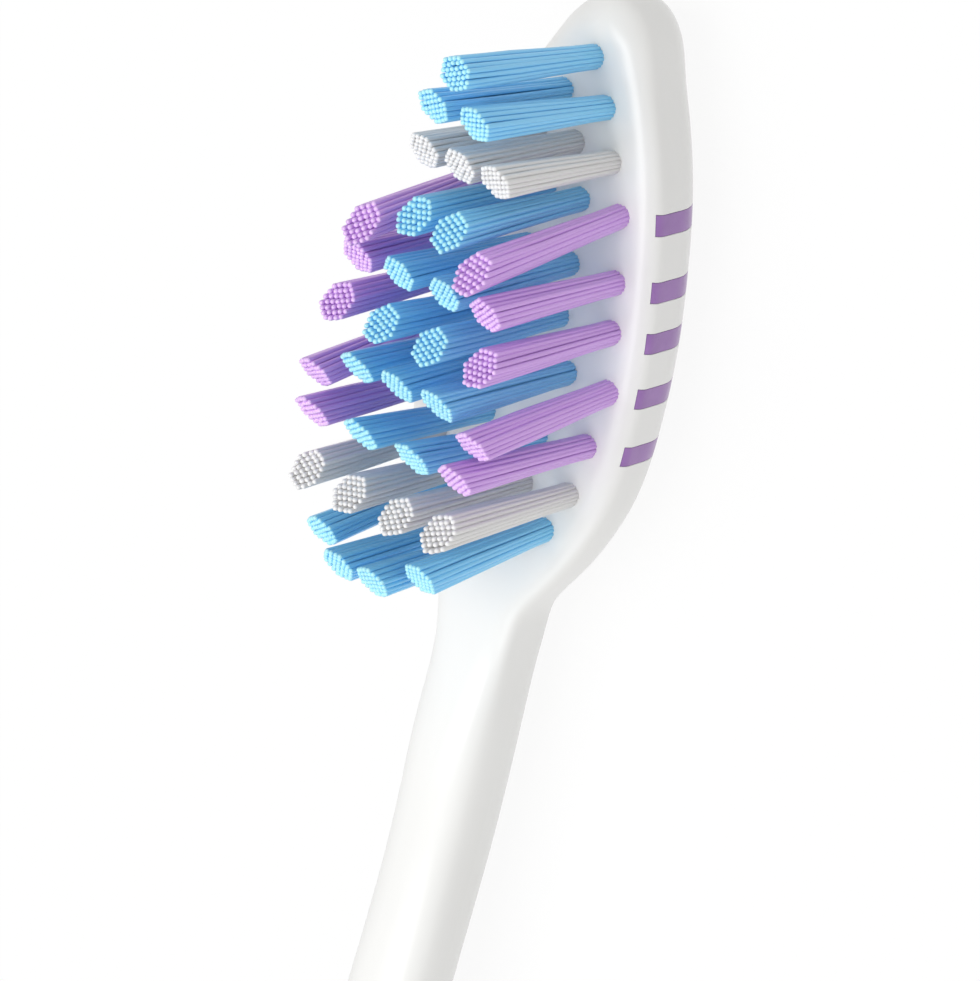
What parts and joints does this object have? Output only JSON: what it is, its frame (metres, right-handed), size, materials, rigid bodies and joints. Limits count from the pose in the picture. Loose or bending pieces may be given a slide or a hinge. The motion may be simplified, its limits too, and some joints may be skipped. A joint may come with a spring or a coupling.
{
  "type": "manual toothbrush",
  "caption": "Straight manual toothbrush: tapered oval head with slanted, criss-cross tufts in three colours, slim neck, swelling handle with soft thumb and palm grips.",
  "frame": {"origin": "centre of the brush's footprint, on the surface that the back of its handle rests on", "axes": "+Y along the brush from the tail of the handle to the toe of the head, +Z the way the bristles point, +X to the right as seen from above with the toe pointing away"},
  "size_m": [0.0138, 0.188, 0.0205],
  "materials": {
    "white_plastic": "smooth, softly glossy opaque white",
    "purple_elastomer": "satin, moulded flush with the white plastic",
    "blue_bristle": "drawn filament, slightly translucent sheen, rounded tips",
    "purple_bristle": "drawn filament, slightly translucent sheen, rounded tips",
    "white_bristle": "drawn filament, slightly translucent sheen, rounded tips",
    "anchor_metal": "bright flat wire"
  },
  "bodies": {
    "root": {"anchors_row_01": "anchor_metal", "anchors_row_02": "anchor_metal", "anchors_row_03": "anchor_metal", "anchors_row_04": "anchor_metal", "anchors_row_05": "anchor_metal", "anchors_row_06": "anchor_metal", "anchors_row_07": "anchor_metal", "anchors_row_08": "anchor_metal", "anchors_row_09": "anchor_metal", "anchors_row_10": "anchor_metal", "cleaner_rib_1": "purple_elastomer", "cleaner_rib_2": "purple_elastomer", "cleaner_rib_3": "purple_elastomer", "cleaner_rib_4": "purple_elastomer", "cleaner_rib_5": "purple_elastomer", "handle_body": "white_plastic", "palm_grip": "purple_elastomer", "thumb_grip": "purple_elastomer", "tuft_01a_blue": "blue_bristle", "tuft_02a_blue": "blue_bristle", "tuft_02b_blue": "blue_bristle", "tuft_03a_white": "white_bristle", "tuft_03b_white": "white_bristle", "tuft_03c_white": "white_bristle", "tuft_04a_purple": "purple_bristle", "tuft_04b_blue": "blue_bristle", "tuft_04c_blue": "blue_bristle", "tuft_04d_purple": "purple_bristle", "tuft_05a_purple": "purple_bristle", "tuft_05b_blue": "blue_bristle", "tuft_05c_blue": "blue_bristle", "tuft_05d_purple": "purple_bristle", "tuft_06a_purple": "purple_bristle", "tuft_06b_blue": "blue_bristle", "tuft_06c_blue": "blue_bristle", "tuft_06d_purple": "purple_bristle", "tuft_07a_purple": "purple_bristle", "tuft_07b_blue": "blue_bristle", "tuft_07c_blue": "blue_bristle", "tuft_07d_blue": "blue_bristle", "tuft_07e_purple": "purple_bristle", "tuft_08a_purple": "purple_bristle", "tuft_08b_blue": "blue_bristle", "tuft_08c_blue": "blue_bristle", "tuft_08d_purple": "purple_bristle", "tuft_09a_white": "white_bristle", "tuft_09b_white": "white_bristle", "tuft_09c_white": "white_bristle", "tuft_09d_white": "white_bristle", "tuft_10a_blue": "blue_bristle", "tuft_10b_blue": "blue_bristle", "tuft_10c_blue": "blue_bristle", "tuft_10d_blue": "blue_bristle"}
  },
  "joints": []
}
